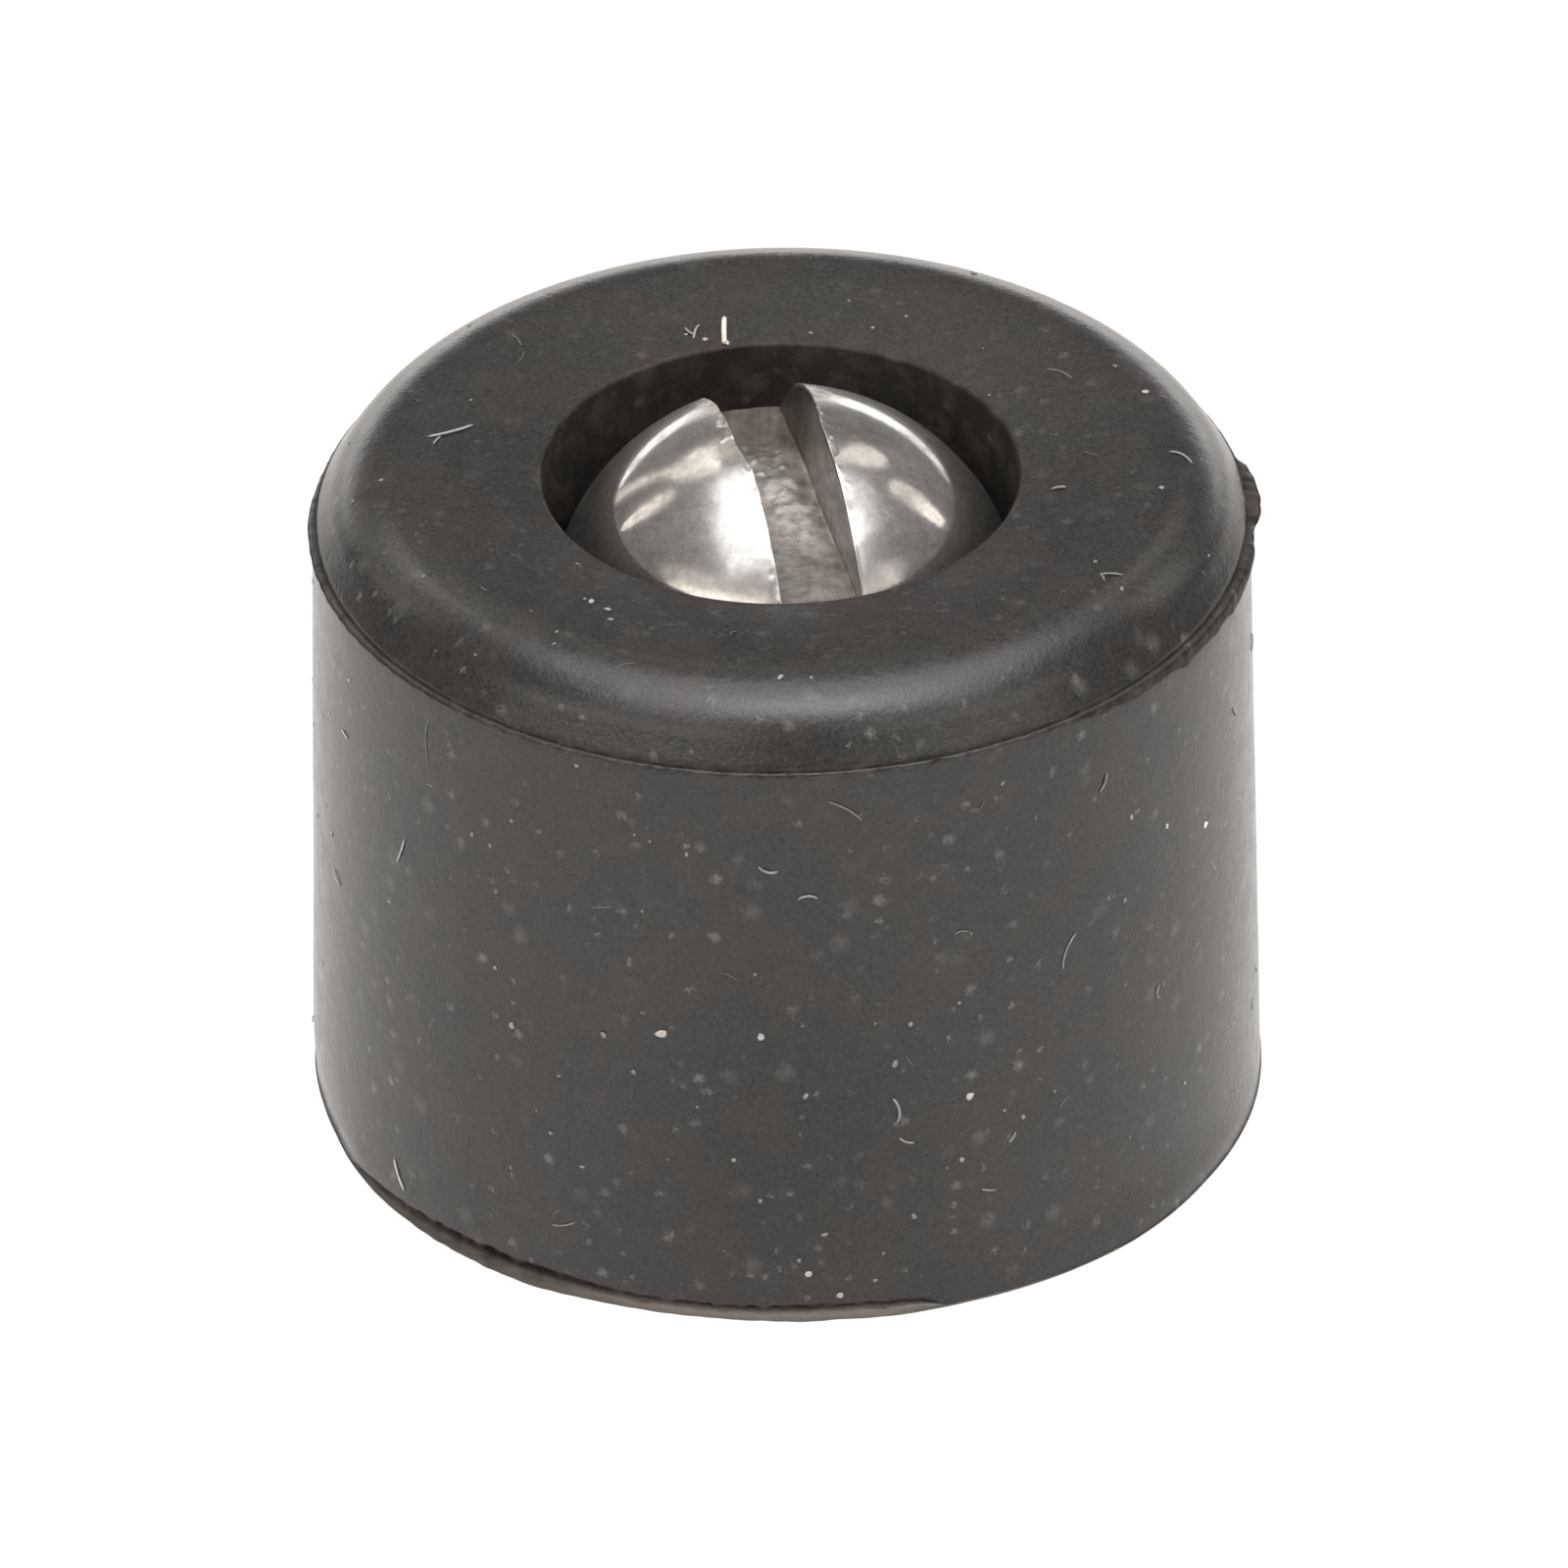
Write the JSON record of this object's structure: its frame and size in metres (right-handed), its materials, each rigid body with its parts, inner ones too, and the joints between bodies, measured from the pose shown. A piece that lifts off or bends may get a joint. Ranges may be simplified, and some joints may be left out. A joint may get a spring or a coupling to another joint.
{
  "type": "rubber foot with screw",
  "caption": "Black moulded rubber foot with a recess for its screw head, flash at the mould line, and a loose slotted round-head screw standing in it.",
  "frame": {"origin": "centre of the wide mounting face that the foot stands on", "axes": "+Z along the foot's axis, up through the recess and the screw head; +X to the right and +Y away as the foot is first seen"},
  "size_m": [0.0254, 0.0254, 0.02],
  "materials": {
    "black_rubber": "matt moulded black rubber with dust and lint, brighter at grazing angles",
    "bright_steel": "bright plated steel, lightly tumbled, with a scuffed sawn slot"
  },
  "bodies": {
    "root": {"rubber_foot": "black_rubber", "slotted_screw": "bright_steel"}
  },
  "joints": []
}
